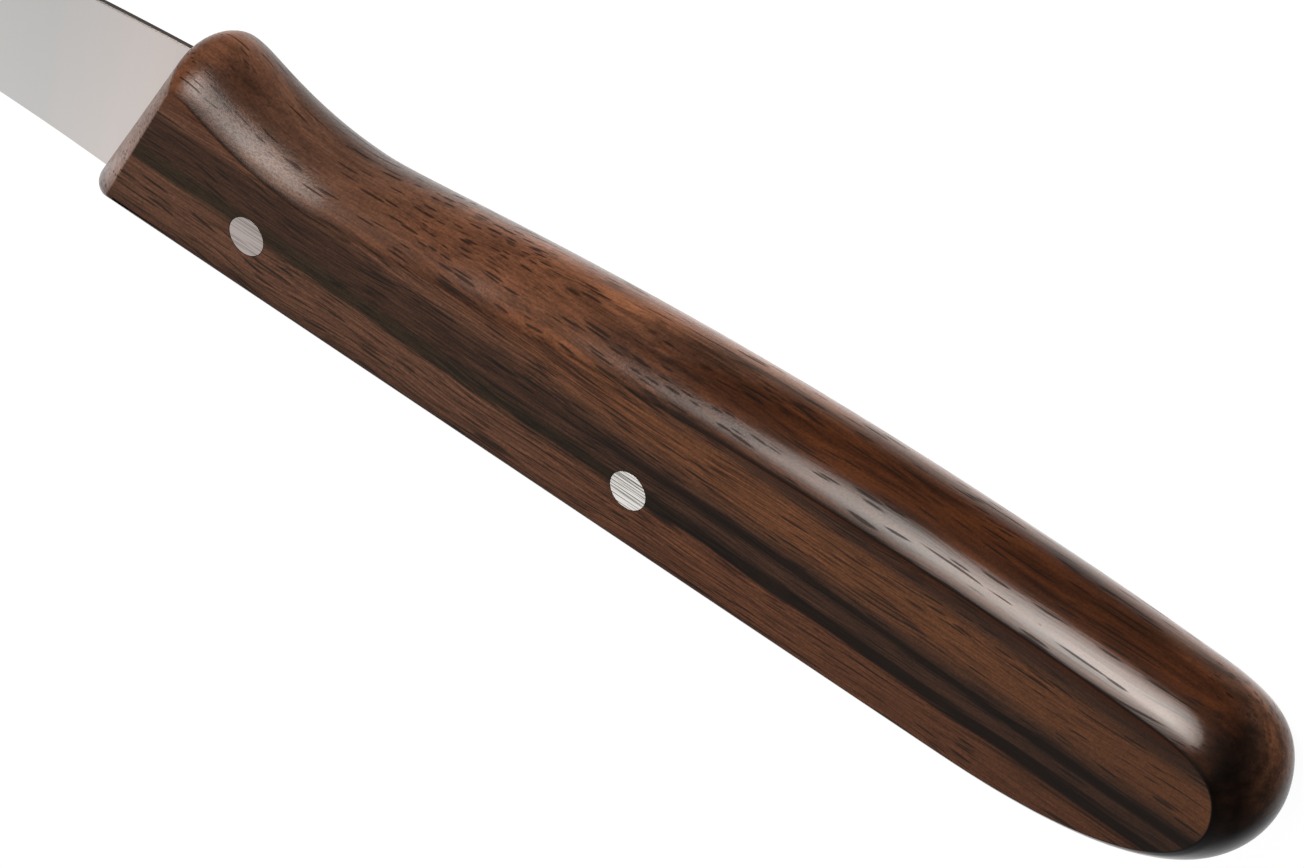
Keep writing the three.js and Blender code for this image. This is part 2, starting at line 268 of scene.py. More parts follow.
def long_outline(s):
    """The flat sides' outline from the toe along belly, butt and back to the nose."""
    belly = s.edge_rise
    brow_x = (s.nose_height - 2 * s.edge_rise) * math.tan(s.front_slant)
    toe = at(s.flat_toe_radius, belly)
    belly_end = at(s.flat_length - s.belly_end_setback, belly)
    butt = at(s.flat_length, s.butt_tip_height)
    back_end = at(s.flat_length - s.back_end_setback, s.back_end_height - s.edge_rise)
    swell = at(s.flat_length - s.swell_setback, s.swell_height - s.edge_rise)
    waist = at(s.waist_station, s.waist_height - s.edge_rise)
    nose = at(brow_x + s.flat_brow_radius, s.nose_height - s.edge_rise)
    none = at(0, 0)
    roll = towards(-s.back_fall, s.back_roll_pull)
    back = towards(math.pi - s.back_fall, s.back_end_pull)
    return (
        curve(toe, none, none, belly_end, steps=24)
        + curve(belly_end, at(s.belly_end_pull, 0), at(0, -s.butt_lower_pull), butt, steps=40)
        + curve(butt, at(0, s.butt_upper_pull), roll, back_end, steps=24)
        + curve(back_end, back, at(s.swell_rear_pull, 0), swell, steps=20)
        + curve(swell, at(-s.swell_front_pull, 0), at(s.waist_rear_pull, 0), waist, steps=48)
        + curve(waist, at(-s.waist_front_pull, 0), at(s.nose_pull, 0), nose, steps=32)
    )


def front_outline(s, share):
    """The front end from nose to toe where the crown stands out by a share of its rise."""
    belly = s.edge_rise
    top = s.nose_height - s.edge_rise
    forward = towards(math.pi - s.front_slant, share)
    brow = at((top - belly) * math.tan(s.front_slant), top) + forward * s.front_rise_high
    toe = at(0, belly) + forward * s.front_rise_low
    down = (toe - brow).normalized()
    outward = at(down.y, -down.x)
    facing = math.atan2(outward.y, outward.x)
    nose_radius = s.flat_brow_radius + share * (s.nose_radius - s.flat_brow_radius)
    toe_radius = s.flat_toe_radius + share * (s.toe_radius - s.flat_toe_radius)

    def corner(height, radius):
        return at(toe.x - (radius + (height - toe.y) * outward.y) / outward.x, height)

    nose = corner(top + share * s.edge_rise - nose_radius, nose_radius)
    heel = corner(belly - share * s.edge_rise + toe_radius, toe_radius)
    straight_steps = 6
    high = nose + outward * nose_radius
    low = heel + outward * toe_radius
    return (
        arc(nose, nose_radius, math.pi / 2, facing, steps=12)
        + [high.lerp(low, i / straight_steps) for i in range(straight_steps)]
        + arc(heel, toe_radius, facing, 1.5 * math.pi, steps=10)
    )


def crown_profile(rise, fillet):
    """Places across the crowned edge as (how far out, how high), from the upper flat side to the lower.

    The crown is a shallow circular arc, and a small fillet softens the crease where it meets a flat side.
    """
    fillet_steps = 5
    crown_steps = 14
    radius = (HALF_THICKNESS ** 2 + rise ** 2) / (2 * rise)
    middle = rise - radius
    lift = HALF_THICKNESS - fillet
    reach = math.sqrt((radius - fillet) ** 2 - lift ** 2)
    touch = math.atan2(lift, reach)
    upper = []
    for i in range(fillet_steps):
        turn = math.pi / 2 + (touch - math.pi / 2) * i / fillet_steps
        upper.append((middle + reach + fillet * math.cos(turn), lift + fillet * math.sin(turn)))
    for i in range(crown_steps):
        turn = touch * (1 - i / crown_steps)
        upper.append((middle + radius * math.cos(turn), radius * math.sin(turn)))
    return upper + [(rise, 0.0)] + [(out, -z) for out, z in reversed(upper)]


def handle_rings(s):
    """Closed rings of points round the handle, from the upper flat side to the lower."""
    points = long_outline(s)
    ahead = points[1:] + points[-1:]
    behind = points[:1] + points[:-1]
    edges = []
    for point, after, before in zip(points, ahead, behind):
        along = (after - before).normalized()
        soft = smooth_step(point.x, s.crease_start, s.crease_end)
        fillet = s.front_crease + soft * (s.side_crease - s.front_crease)
        edges.append((point, at(along.y, -along.x), crown_profile(s.edge_rise, fillet)))
    front = crown_profile(s.edge_rise, s.front_crease)
    rings = []
    for k, (front_out, front_z) in enumerate(front):
        ring = []
        for point, outward, profile in edges:
            out, z = profile[k]
            place = point + outward * out
            away = min(abs(point.x - s.dip_station) / s.dip_reach, 1.0)
            wander = s.dip_depth * math.cos(away * math.pi / 2) ** 2
            place.y -= max(outward.y, 0.0) * wander * max(z / HALF_THICKNESS, 0.0) ** 2
            ring.append(at(place.x, place.y, z))
        ring += [at(p.x, p.y, front_z) for p in front_outline(s, front_out / s.edge_rise)]
        rings.append(ring)
    return rings


def loop_edges(bm, loop):
    """Edges of a closed loop of vertices."""
    return [bm.edges.get(pair) for pair in zip(loop, loop[1:] + loop[:1])]


def sweep(bm, rings):
    """Extrudes a closed loop of edges from ring to ring and closes both ends."""
    loop = bmesh.ops.create_circle(bm, cap_ends=True, segments=len(rings[0]), radius=1.0)["verts"]
    for vert, place in zip(loop, rings[0]):
        vert.co = place
    for ring in rings[1:]:
        made = bmesh.ops.extrude_edge_only(bm, edges=loop_edges(bm, loop))["geom"]
        fresh = {v for v in made if isinstance(v, bmesh.types.BMVert)}
        follower = {e.other_vert(v): v for v in fresh for e in v.link_edges if e.other_vert(v) not in fresh}
        loop = [follower[v] for v in loop]
        for vert, place in zip(loop, ring):
            vert.co = place
    bmesh.ops.contextual_create(bm, geom=loop_edges(bm, loop))
    bmesh.ops.recalc_face_normals(bm, faces=bm.faces)


def thicken(bm, face, thickness):
    """Extrudes a face across the handle and turns all faces outwards."""
    made = bmesh.ops.extrude_face_region(bm, geom=[face])["geom"]
    lifted = [v for v in made if isinstance(v, bmesh.types.BMVert)]
    bmesh.ops.translate(bm, verts=lifted, vec=at(0, 0, thickness))
    bmesh.ops.recalc_face_normals(bm, faces=bm.faces)


def slab(bm, outline, thickness):
    """A flat plate with the given outline, centred on the mid-plane."""
    face = bm.faces.new([bm.verts.new(at(p.x, p.y, -thickness / 2)) for p in outline])
    thicken(bm, face, thickness)


def rod(bm, centre, radius, thickness, segments=72):
    """A round bar across the handle, centred on the mid-plane."""
    low = bmesh.ops.create_circle(bm, cap_ends=True, segments=segments, radius=radius)["verts"]
    bmesh.ops.translate(bm, verts=low, vec=at(centre.x, centre.y, -thickness / 2))
    thicken(bm, low[0].link_faces[0], thickness)


def make_object(name, bm, origin):
    """Turns a mesh drawn in the knife's frame into an object with its place in its mesh."""
    bmesh.ops.translate(bm, verts=bm.verts, vec=origin)
    mesh = bpy.data.meshes.new(name)
    bm.to_mesh(mesh)
    bm.free()
    piece = bpy.data.objects.new(name, mesh)
    bpy.context.scene.collection.objects.link(piece)
    return piece


def carve(piece, tool, operation="DIFFERENCE"):
    """Cuts a tool out of a piece or joins it on, and keeps the result as the piece's mesh."""
    step = piece.modifiers.new("Carve", "BOOLEAN")
    step.operation = operation
    step.solver = "EXACT"
    step.object = tool
    graph = bpy.context.evaluated_depsgraph_get()
    before = piece.data
    carved = bpy.data.meshes.new_from_object(piece.evaluated_get(graph))
    piece.modifiers.clear()
    piece.data = carved
    carved.name = piece.name
    bpy.data.meshes.remove(before)
    bpy.data.objects.remove(tool)
    if not carved.polygons:
        raise RuntimeError(f"{piece.name} has no faces left")


def drill(piece, steel, origin):
    """Bores a piece for both pins, right through."""
    radius = PIN_DIAMETER / 2 + steel.pin_clearance
    through = 4 * HALF_THICKNESS
    for station in (steel.pin_station, steel.pin_station + PIN_SPACING):
        bm = bmesh.new()
        rod(bm, at(station, steel.pin_height), radius, through)
        carve(piece, make_object("bore_tool", bm, origin))


def dress(piece, material, slot, sharp, *nodes):
    """Gives a finished piece its material and its shading, and seats it on the frame."""
    piece.data.materials.clear()
    piece.data.materials.append(material)
    piece.data.shade_smooth()
    piece.data.set_sharp_from_angle(angle=sharp)
    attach(piece, BODY)
    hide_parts(*nodes)


def tang_top(handle, steel, clearance):
    """Upper outline of the tang from the spine's root to its end, moved out by a clearance."""
    corners = [
        at(steel.spine_root_depth, handle.nose_height - steel.nose_cover),
        at(steel.neck_station, handle.waist_height - steel.waist_cover),
        at(tang_end(steel), steel.pin_height + steel.tang_end_rise),
    ]
    return [corner + at(clearance, clearance) for corner in corners]


def tang_end(steel):
    """Distance of the tang's end from the front."""
    return steel.pin_station + PIN_SPACING + steel.tang_margin


def slot_outline(handle, steel):
    """The saw slot, open at the front and along the belly."""
    past = 5 * MM
    top = tang_top(handle, steel, steel.slot_clearance)
    return [at(-past, -past), at(top[2].x, -past), *reversed(top), at(-past, top[0].y)]


def tang_outline(handle, steel):
    """The half tang, which overlaps the blade at its root."""
    top = tang_top(handle, steel, 0.0)
    end = tang_end(steel)
    return [
        at(steel.heel_inset, steel.tang_recess),
        at(end - steel.tang_taper, steel.tang_recess),
        at(end, steel.pin_height - steel.tang_end_drop),
        *reversed(top),
    ]


def spaced(points, count, share):
    """Points at even steps along a line of points, up to a share of its length."""
    gaps = [(b - a).length for a, b in zip(points, points[1:])]
    stations = [share * sum(gaps) * k / count for k in range(count + 1)]
    found = []
    for station in stations:
        for start, end, gap in zip(points, points[1:], gaps):
            if station <= gap:
                break
            station -= gap
        found.append(start.lerp(end, min(station / gap, 1.0)))
    return found


def blade_rings(handle, steel):
    """Closed rings of points round the blade's section, from the root to the tip."""
    steps = 90
    curve_steps = 400
    root = at(steel.spine_root_depth, handle.nose_height - steel.nose_cover)
    heel = at(steel.heel_inset, -steel.heel_drop)
    tip = at(-steel.blade_reach, -steel.tip_drop)
    fall = towards(math.pi + steel.spine_fall, steel.spine_root_pull)
    spine = curve(root, fall, towards(steel.tip_slope, steel.spine_tip_pull), tip, curve_steps)
    bend = heel + towards(math.pi - steel.edge_lift, steel.edge_pull)
    edge = curve(heel, (bend - heel) * 2 / 3, (bend - tip) * 2 / 3, tip, curve_steps)
    share = 1 - steel.tip_blunt / steel.blade_reach
    taper = (steel.steel_thickness - steel.ground_thickness) / root.y
    rings = []
    for back, front in zip(spaced(spine + [tip], steps, share), spaced(edge + [tip], steps, share)):
        across = (back - front).normalized()
        width = (back - front).length
        shoulder = front + across * min(steel.bevel_width, width / 2)
        ease = min(steel.spine_ease, width / 8)
        eased = back - across * ease
        back_half = (steel.ground_thickness + taper * back.y) / 2
        shoulder_half = (steel.ground_thickness + taper * shoulder.y) / 2
        side = [
            (front, steel.edge_thickness / 2),
            (shoulder, shoulder_half),
            (eased, back_half),
            (back, back_half - min(ease, back_half / 2)),
        ]
        ring = [at(p.x, p.y, z) for p, z in side]
        ring += [at(p.x, p.y, -z) for p, z in reversed(side)]
        rings.append(ring)
    return rings


def per_step(size):
    """Turns a pattern's sizes in millimetres into the share of a step that each millimetre is."""
    return [1 / step for step in size]


def greys(pairs, reach=1.0):
    """Stops for a ramp of plain numbers, from pairs of a place up to the reach and a number."""
    return [(place / reach, (number,) * 3) for place, number in pairs]


def add(tree, kind, inputs=(), stops=None, **settings):
    """Adds a shader node with its settings, its links or values and, for a ramp, its colour stops.

    Inputs are named or in order. Each is a value, a socket to link, or a node, which stands for its first
    output in use.
    """
    node = tree.nodes.new("ShaderNode" + kind)
    for name, value in settings.items():
        setattr(node, name, value)
    named = inputs if isinstance(inputs, dict) else dict(enumerate(inputs))
    for socket, value in named.items():
        if isinstance(value, bpy.types.Node):
            value = next(out for out in value.outputs if out.enabled)
        if isinstance(value, bpy.types.NodeSocket):
            tree.links.new(value, node.inputs[socket])
        else:
            node.inputs[socket].default_value = value
    if stops:
        ramp = node.color_ramp
        while len(ramp.elements) < len(stops):
            ramp.elements.new(1.0)
        for element, (place, shade) in zip(ramp.elements, stops):
            element.position = place
            element.color = (*shade, 1.0)
    return node


def new_material(name):
    """A node material that has no nodes yet."""
    material = bpy.data.materials.new(name)
    material.use_nodes = True
    tree = material.node_tree
    tree.nodes.clear()
    return material, tree


def give_looks(material, looks):
    """Ends a material with its shader."""
    tree = material.node_tree
    shader = add(tree, "BsdfPrincipled", looks)
    add(tree, "OutputMaterial", {"Surface": shader})
    return material


def knife_places(tree, origin):
    """The surface's normal, and a node that gives places in the knife's frame in millimetres."""
    spot = add(tree, "TexCoord")
    scale = (1 / MM, 1 / MM, 1 / MM)
    inputs = {"Vector": spot.outputs["Object"], "Location": -origin / MM, "Scale": scale}
    return spot.outputs["Normal"], add(tree, "Mapping", inputs)


def wood_noise(tree, place):
    """The wood's noise patterns by name, and places along its bent grain.

    Sizes are in millimetres along the grain, across it and through the thickness. Real fibres are finer than
    the render shows, so they are drawn as coarse as they need to be.
    """
    sizes = {
        "bend": (28.0, 7.0, 7.0),
        "wander": (45.0, 6.0, 6.0),
        "fray": (16.0, 0.4, 0.4),
        "fibre": (8.0, 0.16, 0.16),
        "fleck": (4.0, 0.18, 0.18),
        "mottle": (10.0, 0.8, 0.8),
        "grit": (0.26, 0.18, 0.18),
    }
    sway = (0.0, 3.0, 3.0)
    noise = {}
    grain = place
    for pattern, size in sizes.items():
        spread = add(tree, "VectorMath", [grain, per_step(size)], operation="MULTIPLY")
        noise[pattern] = add(tree, "TexNoise", {"Vector": spread, "Scale": 1.0, "Detail": 2.5})
        if pattern == "bend":
            bent = [noise["bend"].outputs["Color"], sway, place]
            grain = add(tree, "VectorMath", bent, operation="MULTIPLY_ADD")
    return noise, grain


def along_handle(tree, x):
    """Values that change along the handle, from pairs of millimetres behind the front and a number."""
    far = 112.0
    courses = {
        # How strongly the dark line along the lacquer's edge shows, which is partly painted shade in the
        # crease
        "line": [(2, 0.1), (4, 0.3), (6, 1.0), (16, 1.0), (24, 0.5), (45, 0.5), (56, 1.0)],
        # Share of the crown's vessels that are open
        "crowding": [(4, 0.5), (16, 0.65), (22, 0.9), (80, 0.9), (far, 0.6)],
        # How far the vessels rise towards the nose
        "rise": [(5, 1.0), (8, 0.8), (12, 0.42), (15.5, 0.1), (19, 0.0)],
        # Light and dark stretches of the crown
        "patches": [(3, 0.9), (6.5, 0.6), (16, 0.6), (24, 0.68), (30, 0.77)]
        + [(45, 0.85), (52, 0.7), (62, 0.85), (76, 0.8), (98, 1.0)],
        # How much painted light lightens its lower half
        "painted_lower_light": [(54, 2.75), (66, 1.85)],
        # Darkening towards the butt
        "rearward_darkening": [(66, 1.0), (100, 0.72)],
        # Tone of the belly edge, darker towards the front
        "belly_edge_tone": [(30, 0.45), (85, 1.0)],
        # Contrast of the fibres
        "crisp": [(4, 0.45), (22, 0.6), (36, 0.78), (56, 0.78), (70, 0.55), (88, 0.38), (102, 0.22)],
        # Relief of the grit, and the least gloss that it leaves
        "grit": [(20, 0.1), (70, 0.015)],
        "gloss": [(20, 0.6), (90, 0.97)],
        # Roughness of the lacquer
        "haze": [(12, 0.24), (50, 0.14)],
        # How much of the lacquer is left at all
        "polish": [(3, 0.78), (6, 0.68), (9, 0.57), (13, 0.66), (20, 0.9), (26, 1.0)],
        # How much of it is left beside the crease
        "kept": [(4, 0.5), (16, 0.5), (25, 0.1), (56, 0.1), (70, 0.4), (88, 0.7), (98, 0.5), (103, 0.15)],
    }
    station = add(tree, "MapRange", {"Value": x, "From Max": far})
    return {
        name: add(tree, "ValToRGB", [station], stops=greys(pairs, far))
        for name, pairs in courses.items()
    }


def heartwood(tree, colours, xyz, noise, behind):
    """Colour of the growth layers, which lean across the block, wander over centimetres and fray.

    A band has a colour and the heights in millimetres between which it is plain, on the mid-plane.
    """
    x, y, z = xyz
    front_bands = (
        (colours.red_brown, 5.0, 10.4),
        (colours.soft_ink, 11.0, 11.9),
        (colours.umber, 12.6, 15.4),
        (colours.red_brown, 16.4),
        (colours.orange, 18.3, 20.8),
        (colours.tobacco, 22.2),
    )
    rear_bands = (
        (colours.russet, 5.0, 10.4),
        (colours.ink, 10.9, 11.9),
        (colours.umber, 12.4, 13.3),
        (colours.ink, 13.8, 14.4),
        (colours.umber, 14.9),
        (colours.golden, 16.8, 19.4),
        (colours.umber, 20.8),
        (colours.tobacco, 21.8),
    )
    wander, fray = 1.6, 1.4
    noise_mean = (wander + fray) / 2
    lowest, depth = 2.0, 24.0
    layer = y
    for part, weight in ((x, 0.022), (z, 0.48), (noise["wander"], wander), (noise["fray"], fray)):
        layer = add(tree, "Math", [part, weight, layer], operation="MULTIPLY_ADD")
    limits = {"From Min": lowest + noise_mean, "From Max": lowest + depth + noise_mean}
    share = add(tree, "MapRange", {"Value": layer, **limits})
    woods = []
    for bands in (front_bands, rear_bands):
        stops = [((height - lowest) / depth, shade) for shade, *heights in bands for height in heights]
        woods.append(add(tree, "ValToRGB", [share], stops=stops))
    return add(tree, "Mix", {0: behind, 6: woods[0], 7: woods[1]}, data_type="RGBA")


def pale_front_with_sheen(tree, colours, y, facing, wood):
    """The wood with pale sanded end grain round the blade, palest at the belly and none on the nose. The
    paleness is partly a painted sheen.
    """
    bare = {"Value": y, "From Min": 3.0, "From Max": 15.0, "To Min": 1.0, "To Max": 0.6}
    pale_sheen_share = add(tree, "MapRange", bare)
    front_end = {"Value": facing[0], "From Min": -0.15, "From Max": -0.55, "To Max": pale_sheen_share}
    sanded = add(tree, "MapRange", front_end, **SOFT)
    nose = {"Value": facing[1], "From Min": 0.25, "From Max": 0.5, "To Min": 1.0, "To Max": 0.0}
    below_nose = add(tree, "MapRange", nose, **SOFT)
    sanded = add(tree, "Math", [sanded, below_nose], operation="MULTIPLY")
    # The pale front end colour is partly a painted sheen
    pale = (*colours.front_end, 1.0)
    return add(tree, "Mix", {0: sanded, 6: wood, 7: pale}, data_type="RGBA")


def open_pores(tree, grain, along, lacquer, darker_butt):
    """Where pores lie open: vessels about 0.2 mm wide, cut into dashes of 2 to 3 mm and into longer lines."""
    flat_crowding = 0.55
    # Taking the pattern from lower down moves it up, by this many millimetres at most
    from_below = (0.0, -1.8, 0.0)
    crowded = {0: lacquer, 2: flat_crowding, 3: along["crowding"]}
    crowding = add(tree, "Mix", crowded, data_type="FLOAT")
    rise = add(tree, "CombineXYZ", {1: along["rise"]})
    vessels = add(tree, "VectorMath", [rise, from_below, grain], operation="MULTIPLY_ADD")
    pores = 0.0
    for size, least, most, share in (
        ((5.6, 0.46, 0.46), 0.24, 0.36, crowding),
        ((20.0, 0.42, 0.42), 0.2, 0.3, 0.95),
    ):
        spread = add(tree, "VectorMath", [vessels, per_step(size)], operation="MULTIPLY")
        vessel = add(tree, "TexVoronoi", {"Vector": spread, "Scale": 1.0})
        chance = add(tree, "SeparateColor", [vessel.outputs["Color"]]).outputs
        reach = add(tree, "MapRange", {"Value": chance[0], "To Min": least, "To Max": most})
        core = add(tree, "Math", [reach, 0.6], operation="MULTIPLY")
        limits = {"From Min": core, "From Max": reach, "To Min": 1.0, "To Max": 0.0}
        dash = add(tree, "MapRange", {"Value": vessel.outputs["Distance"], **limits}, **SOFT)
        opened = add(tree, "Math", [chance[1], share], operation="LESS_THAN")
        for part in (opened, darker_butt):
            dash = add(tree, "Math", [dash, part], operation="MULTIPLY")
        pores = add(tree, "Math", [dash, pores], operation="MAXIMUM")
    return pores


def crown_tone(tree, z, noise, along, behind):
    """How light the crown is: in patches, mottled, more so behind, and lighter on its lower half, which is
    painted light.
    """
    even = add(tree, "MapRange", {"Value": behind, "To Min": 0.7, "To Max": 0.45})
    uneven = add(tree, "MapRange", {"Value": behind, "To Min": 1.3, "To Max": 1.55})
    limits = {"From Min": 0.3, "From Max": 0.7, "To Min": even, "To Max": uneven}
    mottling = add(tree, "MapRange", {"Value": noise["mottle"], **limits})
    # Painted light: the crown's lower half is lightened, more at the front than behind
    limits = {"From Min": 1.0, "From Max": -2.5, "To Min": 1.42, "To Max": along["painted_lower_light"]}
    painted_lower_light = add(tree, "MapRange", {"Value": z, **limits})
    crown = add(tree, "Math", [along["patches"], painted_lower_light], operation="MULTIPLY")
    return add(tree, "Math", [crown, mottling], operation="MULTIPLY")


def wood_tone(tree, xyz, noise, along, behind, lacquer, line, darker_butt):
    """How light the wood is: strands and grit, the crown, the dark line along the crease that is partly
    painted shade, a darker belly edge, darkening towards the butt and a darker butt.
    """
    _, y, z = xyz
    ranges = {
        "fibre": (0.3, 0.7, 0.55, 1.45),
        "fleck": (0.53, 0.66, 1.0, 0.45),
        "grit": (0.3, 0.7, 0.89, 1.39),
    }
    tones = {}
    for pattern, (low, high, dark, light) in ranges.items():
        limits = {"From Min": low, "From Max": high, "To Min": dark, "To Max": light}
        tones[pattern] = add(tree, "MapRange", {"Value": noise[pattern], **limits})
    crown = crown_tone(tree, z, noise, along, behind)
    tone = add(tree, "Mix", {0: lacquer, 2: 1.0, 3: crown}, data_type="FLOAT")
    strands = add(tree, "Math", [tones["fibre"], tones["fleck"]], operation="MULTIPLY")
    calm = add(tree, "MapRange", {"Value": lacquer, "To Min": 1.75, "To Max": 0.75})
    drawn = add(tree, "Math", [along["crisp"], calm], operation="MULTIPLY")
    strands = add(tree, "Math", [strands, drawn], operation="POWER")
    limits = {"From Min": 2.6, "From Max": 4.2, "To Min": along["belly_edge_tone"], "To Max": 1.0}
    belly = add(tree, "MapRange", {"Value": y, **limits})
    for part in (strands, tones["grit"], line, along["rearward_darkening"], belly, darker_butt):
        tone = add(tree, "Math", [tone, part], operation="MULTIPLY")
    return tone


def lacquer_coat(tree, facing, height, noise, along, lacquer, filled):
    """Weight of the lacquer: gritty, broken by pores, rubbed off along the crease, spent round the butt."""
    half = HALF_THICKNESS / MM
    limits = {"From Min": 0.3, "From Max": 0.6, "To Min": along["gloss"], "To Max": 1.0}
    gloss = add(tree, "MapRange", {"Value": noise["grit"], **limits})
    sealed = add(tree, "Math", [1.0, filled], operation="SUBTRACT")
    limits = {"From Min": half - 0.9, "From Max": half - 0.3, "To Min": 1.0, "To Max": along["kept"]}
    rubbed = add(tree, "MapRange", {"Value": height, **limits}, **SOFT)
    spent = {"Value": facing[0], "From Min": 0.2, "From Max": 0.7, "To Min": 1.0, "To Max": 0.52}
    round_butt = add(tree, "MapRange", spent, **SOFT)
    coat = lacquer
    for part in (along["polish"], gloss, sealed, rubbed, round_butt):
        coat = add(tree, "Math", [coat, part], operation="MULTIPLY")
    return coat


def wood_relief(tree, noise, along):
    """Relief of grit, fibres and mottling in tenths of a millimetre."""
    relief = add(tree, "Math", [noise["grit"], along["grit"]], operation="MULTIPLY")
    for part, depth in ((noise["fibre"], 0.06), (noise["mottle"], 0.06)):
        relief = add(tree, "Math", [part, depth, relief], operation="MULTIPLY_ADD")
    return add(tree, "Bump", {"Strength": 1.0, "Distance": 0.1 * MM, "Height": relief})


def rosewood(colours, origin):
    """Rosewood with sanded satin flat sides and a lacquered crown.

    The eye sees ink-dark heartwood streaks along the grain, fine fibres, open pores as short dark dashes,
    matt flat sides, a dark line where the lacquer ends, which is partly painted shade in the crease, and a
    wet, warmer crown whose lacquer is hazy and gritty at the front and glossy towards the butt. Painted light
    lightens the crown's lower half, and the pale end grain round the blade is partly a painted sheen.
    """
    material, tree = new_material("rosewood_with_lacquered_crown")
    normal, place = knife_places(tree, origin)
    xyz = add(tree, "SeparateXYZ", [place]).outputs
    x, y, z = xyz
    facing = add(tree, "SeparateXYZ", [normal]).outputs
    noise, grain = wood_noise(tree, place)
    along = along_handle(tree, x)
    behind = add(tree, "MapRange", {"Value": x, "From Min": 30.0, "From Max": 62.0}, **SOFT)
    wood = heartwood(tree, colours, xyz, noise, behind)
    wood = pale_front_with_sheen(tree, colours, y, facing, wood)

    # The lacquer lies on the crown and stops at the sanded flat sides. The dark line along its edge is partly
    # the lacquer's darker edge and partly painted shade in the crease.
    half = HALF_THICKNESS / MM
    height = add(tree, "Math", [z], operation="ABSOLUTE")
    edge = {"Value": height, "From Min": half - 0.15, "From Max": half - 0.07, "To Min": 1.0, "To Max": 0.0}
    lacquer = add(tree, "MapRange", edge, **SOFT)
    rim = add(tree, "MapRange", {"Value": height, "From Min": half - 0.6, "From Max": half})
    crease_shade_tones = [(0.0, 1.0), (0.5, 0.9), (0.75, 0.3), (0.97, 0.3), (0.998, 1.0)]
    crease = add(tree, "ValToRGB", [rim], stops=greys(crease_shade_tones))
    line = add(tree, "Mix", {0: along["line"], 2: 1.0, 3: crease}, data_type="FLOAT")

    # Round the butt the wood is darker, most of all towards the upper flat side
    deep = {"Value": z, "From Min": -1.0, "From Max": 3.6, "To Min": 0.7, "To Max": 0.06}
    darkest = add(tree, "MapRange", deep)
    butt = {"Value": facing[0], "From Min": 0.12, "From Max": 0.5, "To Min": 1.0, "To Max": darkest}
    darker_butt = add(tree, "MapRange", butt, **SOFT)

    tone = wood_tone(tree, xyz, noise, along, behind, lacquer, line, darker_butt)
    toned = add(tree, "Mix", {0: 1.0, 6: wood, 7: tone}, data_type="RGBA", blend_type="MULTIPLY")
    pores = open_pores(tree, grain, along, lacquer, darker_butt)
    filled = add(tree, "Math", [pores, 0.8], operation="MULTIPLY")
    dark = (*colours.pore, 1.0)
    bump = wood_relief(tree, noise, along)
    looks = {
        "Base Color": add(tree, "Mix", {0: filled, 6: toned, 7: dark}, data_type="RGBA"),
        "Roughness": add(tree, "MapRange", {"Value": lacquer, "To Min": 0.6, "To Max": 0.5}),
        "Specular IOR Level": 0.1,
        "Coat Weight": lacquer_coat(tree, facing, height, noise, along, lacquer, filled),
        "Coat Roughness": along["haze"],
        "Coat IOR": 1.5,
        "Normal": bump,
        "Coat Normal": bump,
    }
    return give_looks(material, looks)


def satin_steel(colours, origin):
    """Stainless blade steel, ground and satin finished.

    The eye sees soft grey reflections, hair-fine grinding lines across the blade, a warmer tone near the
    handle, which is a painted reflection of the wood, and a darker one towards the spine, which is painted
    shade. Real lines are too fine to show, so they are drawn coarser.
    """
    material, tree = new_material("satin_ground_stainless_steel")
    _, place = knife_places(tree, origin)
    x, y, _ = add(tree, "SeparateXYZ", [place]).outputs
    line_size = (0.09, 9.0, 2.0)
    spread = add(tree, "VectorMath", [place, per_step(line_size)], operation="MULTIPLY")
    lines = add(tree, "TexNoise", {"Vector": spread, "Scale": 1.0, "Detail": 2.0})
    # A painted reflection of the wood warms the steel near the handle
    near = add(tree, "MapRange", {"Value": x, "From Min": -11.0, "From Max": -1.0})
    plain = (*colours.steel, 1.0)
    wood_reflection_tint = (*colours.steel_with_wood_reflection, 1.0)
    tone = add(tree, "Mix", {0: near, 6: plain, 7: wood_reflection_tint}, data_type="RGBA")
    # Painted shade: the steel darkens towards the spine
    rise = {"Value": y, "From Min": 1.0, "From Max": 16.0, "To Min": 1.02, "To Max": 0.92}
    painted_spine_shade = add(tree, "MapRange", rise)
    tone = add(tree, "Mix", {0: 1.0, 6: tone, 7: painted_spine_shade}, data_type="RGBA", blend_type="MULTIPLY")
    looks = {
        "Base Color": tone,
        "Metallic": 1.0,
        "Roughness": add(tree, "MapRange", {"Value": lines, "To Min": 0.3, "To Max": 0.42}),
        "Normal": add(tree, "Bump", {"Strength": 0.15, "Distance": 0.004 * MM, "Height": lines}),
    }
    return give_looks(material, looks)


